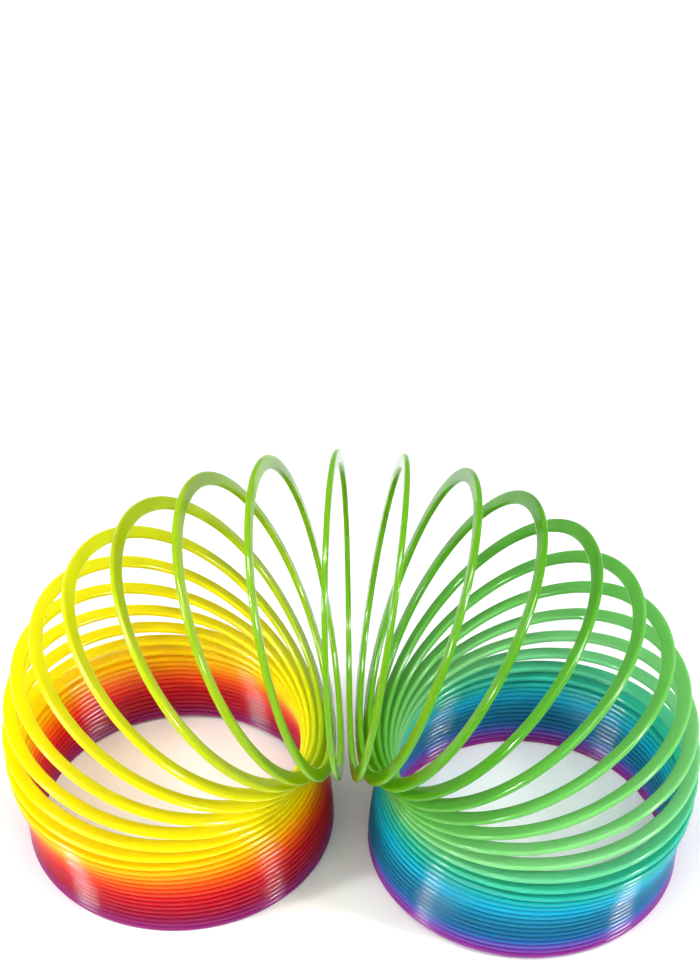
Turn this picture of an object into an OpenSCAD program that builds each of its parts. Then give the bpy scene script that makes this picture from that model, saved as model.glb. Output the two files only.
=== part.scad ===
// Plastic rainbow spring coil, bent into an arch with both feet on the ground.
// The strip is one long left-handed spiral of flat rings. Each turn is its own node, cut
// where the strip passes the inner side of the arch, because every turn moves on the next.
// A turn is two half rings: the near half (-Y) and the far half (+Y).
// Origin: middle of the footprint on the ground. +X runs from the left foot to the right.

/* [Coil] */
// Outside diameter of a turn
coil_d = 75; // [60:1:90]
// Number of turns in the strip
turns = 50; // [44:2:56]
// Height taken by one turn where the coil is closed
pitch = 1.45; // [1.4:0.05:1.8]

/* [Strip] */
// Width of the strip, across the ring
strip_w = 3.4; // [2.6:0.2:4.2]
// Thickness of the strip, along the coil
strip_t = 1.35; // [1.0:0.05:1.35]
// Rounding of the strip's four edges, built as a chamfer
strip_edge = 0.3; // [0.1:0.05:0.4]
// Gap left between the ends of neighbouring turns
end_gap = 0.12; // [0.06:0.02:0.3]

/* [Arch] */
// Position of the crown, in turns from the left end
crown = 24.72; // [23.5:0.01:26.5]
// Turns fanned out between the crown and the left pile
left_fan = 11.6; // [10:0.1:13]
// Turns fanned out between the crown and the right pile
right_fan = 12.45; // [10:0.05:13]
// Distance inside the strip of the line about which two turns swing apart
swing = 3.7; // [2.6:0.1:6]

/* [Slip] */
// Sideways step from turn to turn at the left haunch
left_slip = 0.5; // [0:0.05:0.8]
// Sideways step from turn to turn at the right haunch
right_slip = 0.45; // [0:0.05:0.8]
// Distance of each haunch from the crown, in turns
haunch = 10.2; // [8:0.1:12]
// Spread of the slip about its haunch, in turns
slip_spread = 8.8; // [5:0.1:10]
// How much farther forward the right foot stands than the left
foot_offset = 10.2; // [0:0.2:16]
// Share of that offset which the left haunch takes up before the crown
crown_offset = 3.2; // [0:0.1:5]

/* [Output] */
// Turn to draw, or all of them

/* [Hidden] */
$fn = 96;
ring_r = (coil_d - strip_w) / 2;
half_w = strip_w / 2;
half_t = strip_t / 2;
steps = 2 * turns;
// Shortest straight stub worth building, and the length of the core that joins two halves.
least_stub = 0.1;
core_l = 0.8;
// Power that keeps the climb of a turn to one half except near the crown.
climb_power = 5;

// Rainbow along the strip: [turn, colour], blended between the stops.
rainbow = [
    [0.5, [0.46, 0.26, 0.58]], [2, [0.63, 0.12, 0.35]], [4, [0.70, 0.10, 0.20]],
    [7, [0.83, 0.13, 0.20]], [9, [0.95, 0.37, 0.20]], [12, [0.97, 0.61, 0.09]],
    [16, [0.97, 0.85, 0.07]], [20, [0.85, 0.86, 0.17]], [23, [0.58, 0.75, 0.16]],
    [28, [0.41, 0.69, 0.20]], [33, [0.42, 0.71, 0.42]], [36, [0.22, 0.67, 0.55]],
    [40, [0.16, 0.66, 0.75]], [45, [0.07, 0.50, 0.63]], [47, [0.30, 0.45, 0.72]],
    [49.5, [0.58, 0.26, 0.62]]
];

function turn_name(i) = str("turn_", i < 10 ? "0" : "", i);

function clip(v, low, high) = min(max(v, low), high);

// Tilt of the strip in degrees at turn t: 0 in the left pile, 90 at the crown, 180 right.
function span_at(t) = t < crown ? left_fan : right_fan;
function fan_x(t) = clip((t - crown) / span_at(t), -1, 1);
function tilt(t) = 90 * (1 + sin(90 * fan_x(t)));

// Radians of tilt gained per turn, and the spacing of the turns along the coil.
function tilt_rate(t) = PI * PI / 4 / span_at(t) * cos(90 * fan_x(t));
function spacing(t) = pitch + swing * tilt_rate(t);

// Sideways step per turn, in the plane of the arch.
function bell(v) = exp(-v * v / (slip_spread * slip_spread));
function haunch_slip(t) = left_slip * bell(t - crown + haunch)
                        - right_slip * bell(t - crown - haunch);

// Running totals of a list, starting from 0, and the last of them.
function next_total(s, v, i) = s + (i < len(v) ? v[i] : 0);
function totals(v) = [for (i = 0, s = 0; i <= len(v); s = next_total(s, v, i), i = i + 1) s];
function sum(v) = totals(v)[len(v)];

// A small even slip keeps both feet at the same height whatever the sizes are.
mids = [for (i = [0:steps - 1]) (i + 0.5) / 2];
rise = sum([for (t = mids) spacing(t) * cos(tilt(t)) + haunch_slip(t) * sin(tilt(t))]);
room = sum([for (t = mids) pow(sin(tilt(t)), 2)]);
function slip(t) = haunch_slip(t) - rise / room * sin(tilt(t));

// Steps of the strip's inner line, half a turn at a time, and their running totals.
function step_x(t) = (spacing(t) * sin(tilt(t)) - slip(t) * cos(tilt(t))) / 2;
function step_z(t) = (spacing(t) * cos(tilt(t)) + slip(t) * sin(tilt(t))) / 2;
xs = totals([for (t = mids) step_x(t)]);
zs = totals([for (t = mids) step_z(t)]);
function between(v, t) = let(h = clip(2 * t, 0, steps), i = min(floor(h), steps - 1))
                         v[i] + (h - i) * (v[i + 1] - v[i]);

// Side of the arch: the strip's line drifts forward from the left foot to the right.
function drift(t) = foot_offset * (0.5 - tilt(t) / 180) - crown_offset * sin(tilt(t));

// Share of the climb to the next turn made by the near half: none in the left pile and all
// in the right pile, so that the first near half and the last far half lie flat.
function near_share(i) = (1 - pow(cos(tilt(i + 0.5)), climb_power)) / 2;
function outer_t(i) = i + near_share(i);

// The arch is centred on the origin.
function reach_x(t) = between(xs, t) - 2 * ring_r * cos(tilt(t));
reaches = [for (i = [0:turns - 1]) reach_x(outer_t(i))];
mid_x = (min(reaches) + max(reaches)) / 2;

// Inner point of the strip at turn t, and the point of the ring straight across from it.
function inner(t) = [between(xs, t) - mid_x, drift(t), between(zs, t) + half_t];
function across(t) = inner(t) + 2 * ring_r * [-cos(tilt(t)), 0, sin(tilt(t))];
function outer(i) = [across(outer_t(i))[0], inner(i + 0.5)[1], across(outer_t(i))[2]];

function blend(a, b, f) = a + (b - a) * f;
function shade(t) = let(k = max([for (i = [0:len(rainbow) - 2]) rainbow[i][0] <= t ? i : 0]),
                        a = rainbow[k], b = rainbow[k + 1])
                    blend(a[1], b[1], clip((t - a[0]) / (b[0] - a[0]), 0, 1));

// Cross section of the strip, centred on its middle line.
module section() {
    e = strip_edge;
    polygon([
        [-half_w + e, -half_t], [half_w - e, -half_t], [half_w, -half_t + e],
        [half_w, half_t - e], [half_w - e, half_t], [-half_w + e, half_t],
        [-half_w, half_t - e], [-half_w, -half_t + e]
    ]);
}

// Direction from an inner to an outer point, in degrees above +X: about 180 minus the tilt.
function lean(a, b) = let(d = atan2(b[2] - a[2], b[0] - a[0])) d < -90 ? d + 360 : d;
function near_lean(i) = lean(inner(i), outer(i));
function far_lean(i) = lean(inner(i + 1), outer(i));
function mean_lean(i) = (near_lean(i) + far_lean(i)) / 2;

// Half ring between an inner and an outer point, on the side given: -1 near, 1 far.
// Its inner end runs on in a straight stub towards the cut at y = cut_y.
module half_ring(a, b, side, cut_y) {
    r = norm([b[0] - a[0], b[2] - a[2]]) / 2;
    reach = side * (b[1] - cut_y);
    translate([(a[0] + b[0]) / 2, b[1] + side * end_gap / 2, (a[2] + b[2]) / 2])
        rotate([0, -lean(a, b), 0]) {
            rotate([0, 0, side < 0 ? 180 : 0])
                rotate_extrude(angle = 180)
                    translate([r, 0])
                        section();
            if (reach > least_stub)
                translate([-r, side < 0 ? 0 : -reach, 0])
                    rotate([-90, 0, 0])
                        linear_extrude(height = reach)
                            section();
        }
}

// Core that joins the two half rings of a turn across the hairline between them.
module core(i) {
    translate(outer(i))
        rotate([0, -mean_lean(i), 0])
            cube([strip_w - 2 * strip_edge, core_l, strip_t - strip_edge], center = true);
}

// One turn, from the cut at turn i to the cut at turn i + 1.
module turn(i) {
    color(shade(i + 0.5)) {
        half_ring(inner(i), outer(i), -1, inner(i)[1]);
        half_ring(inner(i + 1), outer(i), 1, inner(i + 1)[1]);
        core(i);
    }
}

for (i = [1:turns]) {
    turn(i - 1);
}
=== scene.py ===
"""Rainbow plastic spring coil, bent into an arch with both feet on the ground.

The strip is one left-handed spiral. Its line is worked out from the same rule as the CAD
turns, and each CAD turn is replaced by two smooth strips, a near half and a far half.
The two end halves are attached to their turns; every other half is fixed where it is built.
"""

import math

import bpy
import numpy as np
from mathutils import Color, Matrix, Vector

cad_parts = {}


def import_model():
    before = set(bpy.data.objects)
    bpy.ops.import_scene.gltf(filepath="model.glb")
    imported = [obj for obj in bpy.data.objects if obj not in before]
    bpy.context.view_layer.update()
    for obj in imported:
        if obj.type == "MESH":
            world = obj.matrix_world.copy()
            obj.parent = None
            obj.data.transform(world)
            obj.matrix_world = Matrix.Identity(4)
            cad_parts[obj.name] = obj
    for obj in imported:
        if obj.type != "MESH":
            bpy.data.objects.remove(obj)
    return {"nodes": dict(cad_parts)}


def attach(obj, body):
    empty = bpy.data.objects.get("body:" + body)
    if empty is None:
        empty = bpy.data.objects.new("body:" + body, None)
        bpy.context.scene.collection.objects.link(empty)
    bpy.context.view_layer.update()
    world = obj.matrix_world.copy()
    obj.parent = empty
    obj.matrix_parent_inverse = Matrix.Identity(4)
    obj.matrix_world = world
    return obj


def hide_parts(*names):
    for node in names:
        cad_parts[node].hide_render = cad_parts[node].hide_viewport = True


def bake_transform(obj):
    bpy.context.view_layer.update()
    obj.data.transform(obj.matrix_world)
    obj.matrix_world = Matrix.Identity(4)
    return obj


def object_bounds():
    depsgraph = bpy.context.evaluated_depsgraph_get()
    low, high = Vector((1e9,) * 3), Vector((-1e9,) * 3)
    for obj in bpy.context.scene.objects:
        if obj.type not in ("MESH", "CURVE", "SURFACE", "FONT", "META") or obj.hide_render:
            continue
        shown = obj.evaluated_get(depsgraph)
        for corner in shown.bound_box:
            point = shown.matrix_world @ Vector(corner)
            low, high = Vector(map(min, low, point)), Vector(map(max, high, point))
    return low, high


MM = 0.001

# Coil, in millimetres and turns (as in the CAD part)
COIL_D = 75.0
STRIP_W = 3.4
STRIP_T = 1.35
PITCH = 1.45
CROWN = 24.72
LEFT_FAN = 11.6
RIGHT_FAN = 12.45
SWING = 3.7
LEFT_SLIP = 0.5
RIGHT_SLIP = 0.45
HAUNCH = 10.2
SLIP_SPREAD = 8.8
FOOT_OFFSET = 10.2
CROWN_OFFSET = 3.2
CLIMB_POWER = 5
RING_R = (COIL_D - STRIP_W) / 2

# Visible strip: slightly thinner than the pitch so that closed turns show a line between
SKIN_T = 1.30
CORNER_R = 0.60

# Fineness: faces round a corner, faces along half a turn, and points of the line in a turn
CORNER_STEPS = 6
HALF_STEPS = 60
LINE_STEPS = 40

# Camera: how far round, how high, how far away, the lens and the point it looks at
CAMERA_YAW = math.radians(1.056)
CAMERA_HEIGHT = math.radians(38.555)
CAMERA_DISTANCE = 0.51045
CAMERA_LENS = 58.76
SENSOR = 24.0
AIM_PAST_CROWN = 0.00064
AIM_Z = 0.10948

# Plastic: how much it mirrors, roughness range, unevenness, and how deep light enters
MIRROR_LEVEL = 0.18
ROUGHNESS = (0.08, 0.14)
UNEVEN_SCALE = 260
UNEVEN_DETAIL = 3
UNEVEN_HEIGHT = 0.0002
UNEVEN_STRENGTH = 0.04
GLOW_WEIGHT = 0.5
GLOW_DEPTH = 0.0015

# Surroundings: brightness of the sky as a light and as seen (as bright as the far floor)
SKY_LIGHT = 0.36
SKY_SEEN = 0.68

# Floor: its grey, its roughness and its width in metres
FLOOR_GREY = 0.93
FLOOR_ROUGHNESS = 0.9
FLOOR_SIZE = 8

# Lights: where the sun stands, its strength and width; then place, size and power in watts
SUN = ((-0.25, -0.45, 0.86), 1.3, math.radians(70))
LAMPS = {
    "overhead": ((0, -0.12, 0.85), (1.1, 0.10), 3.6),
    "right": ((0.85, -0.35, 0.55), (0.10, 0.10), 5.0),
    "left": ((-0.85, -0.35, 0.55), (0.10, 0.10), 4.4),
}

# Glints: lamps that show only as bright lines in the plastic
GLINTS = {
    "overhead_glint": ((0, -0.12, 0.86), (1.1, 0.10), 16.0),
    "right_glint": ((0.85, -0.35, 0.56), (0.16, 0.10), 20.0),
    "left_glint": ((-0.85, -0.35, 0.56), (0.16, 0.10), 20.0),
}

# Rainbow along the strip (turns 31 to 33 made paler by painted highlight and painted glow):
# turns from the left end, colour as displayed
RAINBOW = [
    (0.5, (144, 34, 112)),
    (2.0, (142, 6, 74)),
    (3.5, (160, 2, 40)),
    (7.0, (196, 8, 26)),
    (9.0, (228, 62, 12)),
    (10.5, (242, 100, 4)),
    (12.0, (250, 148, 0)),
    (14.0, (255, 200, 0)),
    (15.5, (255, 226, 0)),
    (18.0, (242, 228, 6)),
    (20.0, (222, 218, 14)),
    (22.0, (156, 184, 8)),
    (24.0, (108, 164, 12)),
    (28.0, (74, 150, 20)),
    # Paler mint: the dye's green, partly lightened by a painted highlight and a painted glow of
    # light through the plastic
    (31.0, (104, 184, 88)),
    (33.2, (124, 200, 126)),
    (35.2, (52, 184, 148)),
    (37.2, (12, 164, 166)),
    (39.2, (2, 162, 196)),
    (41.2, (0, 124, 160)),
    (43.2, (0, 104, 140)),
    (45.2, (0, 98, 144)),
    (46.5, (38, 90, 166)),
    (47.5, (98, 74, 168)),
    (48.5, (118, 46, 148)),
    (50.0, (152, 38, 128)),
]


def tilt(t):
    """Tilt of the strip in radians at turn t: 0 in the left pile, pi in the right pile."""
    span = np.where(t < CROWN, LEFT_FAN, RIGHT_FAN)
    x = np.clip((t - CROWN) / span, -1, 1)
    return math.pi / 2 * (1 + np.sin(math.pi / 2 * x))


def spacing(t):
    """Distance from turn to turn along the coil, at turn t."""
    span = np.where(t < CROWN, LEFT_FAN, RIGHT_FAN)
    x = np.clip((t - CROWN) / span, -1, 1)
    return PITCH + SWING * math.pi**2 / 4 / span * np.cos(math.pi / 2 * x)


def haunch_slip(t):
    """Sideways step from turn to turn, in the plane of the arch."""
    left = np.exp(-(((t - CROWN + HAUNCH) / SLIP_SPREAD) ** 2))
    right = np.exp(-(((t - CROWN - HAUNCH) / SLIP_SPREAD) ** 2))
    return LEFT_SLIP * left - RIGHT_SLIP * right


def drift(t):
    """How far in front of the arch's middle plane the strip's line is, as a y value."""
    return FOOT_OFFSET * (0.5 - tilt(t) / math.pi) - CROWN_OFFSET * np.sin(tilt(t))


class StripLine:
    """The line that the inner side of the strip follows, as functions of the turn."""

    def __init__(self, turns):
        self.turns = turns
        self.marks = np.linspace(0, turns, turns * LINE_STEPS + 1)
        mid = (self.marks[1:] + self.marks[:-1]) / 2
        lean = tilt(mid)
        rise = np.sum(spacing(mid) * np.cos(lean) + haunch_slip(mid) * np.sin(lean))
        slip = haunch_slip(mid) - rise / np.sum(np.sin(lean) ** 2) * np.sin(lean)
        step_x = (spacing(mid) * np.sin(lean) - slip * np.cos(lean)) / LINE_STEPS
        step_z = (spacing(mid) * np.cos(lean) + slip * np.sin(lean)) / LINE_STEPS
        self.x = np.concatenate([[0], np.cumsum(step_x)])
        self.z = np.concatenate([[0], np.cumsum(step_z)]) + STRIP_T / 2
        whole = np.arange(turns)
        reach = self.outer_x(whole + self.near_share(whole))
        self.x = self.x - (reach.min() + reach.max()) / 2

    def outer_x(self, t):
        return np.interp(t, self.marks, self.x) - 2 * RING_R * np.cos(tilt(t))

    def near_share(self, i):
        """Share of the climb to the next turn that the near half of turn i makes."""
        return (1 - np.cos(tilt(i + 0.5)) ** CLIMB_POWER) / 2

    def level(self, t):
        """Where along the coil the strip has climbed to when it has turned t times."""
        i = np.clip(np.floor(t), 0, self.turns - 1)
        part = t - i
        share = self.near_share(i)
        fan = np.sin(tilt(i + 0.5))
        wave = (1 - np.cos(2 * math.pi * part)) / 2
        near = share * (fan * 2 * part + (1 - fan) * wave)
        rest = fan * (2 * part - 1) + (1 - fan) * (1 - wave)
        far = share + (1 - share) * rest
        return i + np.where(part <= 0.5, near, far)

    def frame(self, t):
        """Middle of the strip, its outward direction and its face's direction, at turn t."""
        lev = self.level(t)
        lean = tilt(lev)
        phase = 2 * math.pi * t
        inner = np.stack(
            [np.interp(lev, self.marks, self.x), drift(lev), np.interp(lev, self.marks, self.z)],
            -1,
        )
        zero = np.zeros_like(lean)
        across = np.stack([-np.cos(lean), zero, np.sin(lean)], -1)
        side = np.stack([zero, zero + 1, zero], -1)
        face = np.stack([np.sin(lean), zero, np.cos(lean)], -1)
        c, s = np.cos(phase)[:, None], np.sin(phase)[:, None]
        point = inner + RING_R * (1 - c) * across - RING_R * s * side
        return point, -c * across - s * side, face


def section():
    """Outline of the strip as (outward, face) pairs, with rounded corners."""
    half_w, half_t = STRIP_W / 2 - CORNER_R, SKIN_T / 2 - CORNER_R
    corners = [(half_w, half_t), (-half_w, half_t), (-half_w, -half_t), (half_w, -half_t)]
    outline = []
    for k, (cx, cy) in enumerate(corners):
        for j in range(CORNER_STEPS + 1):
            a = math.pi / 2 * (k + j / CORNER_STEPS)
            outline.append((cx + CORNER_R * math.cos(a), cy + CORNER_R * math.sin(a)))
    return np.array(outline)


def sweep(name, line, start, end, outline, closed_start=False, closed_end=False):
    """A mesh of the strip from turn start to turn end, with the turn kept as strip."""
    t = np.linspace(start, end, HALF_STEPS + 1)
    point, outward, face = line.frame(t)
    rings = (
        point[:, None, :]
        + outline[None, :, 0:1] * outward[:, None, :]
        + outline[None, :, 1:2] * face[:, None, :]
    )
    count = len(outline)
    verts = (rings * MM).reshape(-1, 3)
    faces = []
    for i in range(HALF_STEPS):
        for j in range(count):
            a, b = i * count + j, i * count + (j + 1) % count
            faces.append((a, a + count, b + count, b))
    if closed_start:
        faces.append(tuple(range(count)))
    if closed_end:
        faces.append(tuple(reversed(range(HALF_STEPS * count, (HALF_STEPS + 1) * count))))
    mesh = bpy.data.meshes.new(name)
    mesh.from_pydata(verts.tolist(), [], faces)
    mesh.update()
    strip = mesh.attributes.new("strip", "FLOAT", "POINT")
    strip.data.foreach_set("value", np.repeat(t / line.turns, count).astype(np.float32))
    smooth = np.ones(len(mesh.polygons), bool)
    smooth[HALF_STEPS * count :] = False
    mesh.polygons.foreach_set("use_smooth", smooth)
    obj = bpy.data.objects.new(name, mesh)
    bpy.context.scene.collection.objects.link(obj)
    return obj


def add_turn(index, names, line, outline, material):
    """The near and far halves of one turn, each joined to the turn beside it."""
    name = names[index]
    ends = line.frame(np.array([index, index + 0.5, index + 1.0]))[0] * MM
    first, last = index == 0, index == len(names) - 1
    near = sweep(name + "_near", line, index, index + 0.5, outline, closed_start=first)
    far = sweep(name + "_far", line, index + 0.5, index + 1.0, outline, closed_end=last)
    for half in (near, far):
        half.data.materials.append(material)
        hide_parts(name)
    if first:
        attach(near, name)
    else:
        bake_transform(near)
    if last:
        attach(far, name)
    else:
        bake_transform(far)


def rainbow_ramp(nodes, turns):
    """A colour ramp of the rainbow, over the share of the strip's length."""
    ramp = nodes.new("ShaderNodeValToRGB")
    stops = ramp.color_ramp.elements
    stops[0].position, stops[1].position = RAINBOW[0][0] / turns, RAINBOW[-1][0] / turns
    for place, _ in RAINBOW[1:-1]:
        stops.new(place / turns)
    for stop, (_, shown) in zip(stops, RAINBOW):
        colour = Color(c / 255 for c in shown).from_srgb_to_scene_linear()
        stop.color = (*colour, 1)
    return ramp


def rainbow_plastic(turns):
    """Glossy moulded plastic, a little translucent, whose colour runs along the strip."""
    material = bpy.data.materials.new("rainbow_plastic")
    material.use_nodes = True
    nodes, links = material.node_tree.nodes, material.node_tree.links
    shader = nodes["Principled BSDF"]
    strip = nodes.new("ShaderNodeAttribute")
    strip.attribute_name = "strip"
    ramp = rainbow_ramp(nodes, turns)
    links.new(strip.outputs["Fac"], ramp.inputs["Fac"])
    links.new(ramp.outputs["Color"], shader.inputs["Base Color"])
    uneven = nodes.new("ShaderNodeTexNoise")
    uneven.inputs["Scale"].default_value = UNEVEN_SCALE
    uneven.inputs["Detail"].default_value = UNEVEN_DETAIL
    rough = nodes.new("ShaderNodeMapRange")
    rough.inputs["To Min"].default_value = ROUGHNESS[0]
    rough.inputs["To Max"].default_value = ROUGHNESS[1]
    links.new(uneven.outputs["Fac"], rough.inputs["Value"])
    links.new(rough.outputs["Result"], shader.inputs["Roughness"])
    shader.inputs["Specular IOR Level"].default_value = MIRROR_LEVEL
    shader.inputs["Subsurface Weight"].default_value = GLOW_WEIGHT
    shader.inputs["Subsurface Radius"].default_value = (1, 1, 1)
    shader.inputs["Subsurface Scale"].default_value = GLOW_DEPTH
    bump = nodes.new("ShaderNodeBump")
    bump.inputs["Strength"].default_value = UNEVEN_STRENGTH
    bump.inputs["Distance"].default_value = UNEVEN_HEIGHT
    links.new(uneven.outputs["Fac"], bump.inputs["Height"])
    links.new(bump.outputs["Normal"], shader.inputs["Normal"])
    return material


def add_floor():
    """A plain pale floor, wide enough to fill every view."""
    bpy.ops.mesh.primitive_plane_add(size=FLOOR_SIZE, location=(0, 0, 0))
    floor = bpy.context.object
    floor.name = "floor"
    material = bpy.data.materials.new("floor_white")
    material.use_nodes = True
    shader = material.node_tree.nodes["Principled BSDF"]
    shader.inputs["Base Color"].default_value = (FLOOR_GREY, FLOOR_GREY, FLOOR_GREY, 1)
    shader.inputs["Roughness"].default_value = FLOOR_ROUGHNESS
    floor.data.materials.append(material)


def add_surroundings():
    """White surroundings: dim as a light, brighter where the camera sees them."""
    world = bpy.context.scene.world or bpy.data.worlds.new("world")
    bpy.context.scene.world = world
    world.use_nodes = True
    nodes, links = world.node_tree.nodes, world.node_tree.links
    dim = nodes["Background"]
    bright = nodes.new("ShaderNodeBackground")
    for sky, strength in ((dim, SKY_LIGHT), (bright, SKY_SEEN)):
        sky.inputs["Color"].default_value = (1, 1, 1, 1)
        sky.inputs["Strength"].default_value = strength
    rays = nodes.new("ShaderNodeLightPath")
    mix = nodes.new("ShaderNodeMixShader")
    links.new(rays.outputs["Is Camera Ray"], mix.inputs[0])
    links.new(dim.outputs[0], mix.inputs[1])
    links.new(bright.outputs[0], mix.inputs[2])
    links.new(mix.outputs[0], nodes["World Output"].inputs["Surface"])


def place_light(data, place, aim):
    """Put a light at a place, turned to the aim."""
    lamp = bpy.data.objects.new(data.name, data)
    lamp.location = place
    lamp.rotation_euler = (aim - Vector(place)).to_track_quat("-Z", "Y").to_euler()
    bpy.context.scene.collection.objects.link(lamp)
    return lamp


def add_lights(centre):
    """A soft sun that evens out the floor, soft boxes, and boxes that show only as glints."""
    place, strength, width = SUN
    sun = bpy.data.lights.new("sun", "SUN")
    sun.energy, sun.angle = strength, width
    place_light(sun, place, Vector((0, 0, 0)))
    for name, (place, size, power) in (LAMPS | GLINTS).items():
        box = bpy.data.lights.new(name, "AREA")
        box.shape = "RECTANGLE"
        box.size, box.size_y = size
        box.energy = power
        lamp = place_light(box, place, centre)
        lamp.visible_diffuse = name in LAMPS


def add_camera(crown_x):
    """The photograph's viewpoint: almost square on, looking down at the arch."""
    data = bpy.data.cameras.new("camera")
    data.lens = CAMERA_LENS
    data.sensor_fit = "VERTICAL"
    data.sensor_height = SENSOR
    data.sensor_width = SENSOR
    camera = bpy.data.objects.new("camera", data)
    bpy.context.scene.collection.objects.link(camera)
    aim = Vector((crown_x + AIM_PAST_CROWN, 0, AIM_Z))
    level = math.cos(CAMERA_HEIGHT)
    away = Vector((0, -level, math.sin(CAMERA_HEIGHT)))
    away = Matrix.Rotation(-CAMERA_YAW, 3, "Z") @ away
    camera.location = aim + away * CAMERA_DISTANCE
    camera.rotation_euler = (-away).to_track_quat("-Z", "Y").to_euler()
    bpy.context.scene.camera = camera


def main():
    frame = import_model()
    cad_low, cad_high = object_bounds()
    names = sorted(frame["nodes"])
    line = StripLine(len(names))
    outline = section()
    material = rainbow_plastic(line.turns)
    for index in range(len(names)):
        add_turn(index, names, line, outline, material)
    add_floor()
    add_surroundings()
    add_lights((cad_low + cad_high) / 2)
    crown_x = float(np.interp(CROWN, line.marks, line.x)) * MM
    add_camera(crown_x)
    bpy.context.scene.view_settings.view_transform = "Standard"


main()
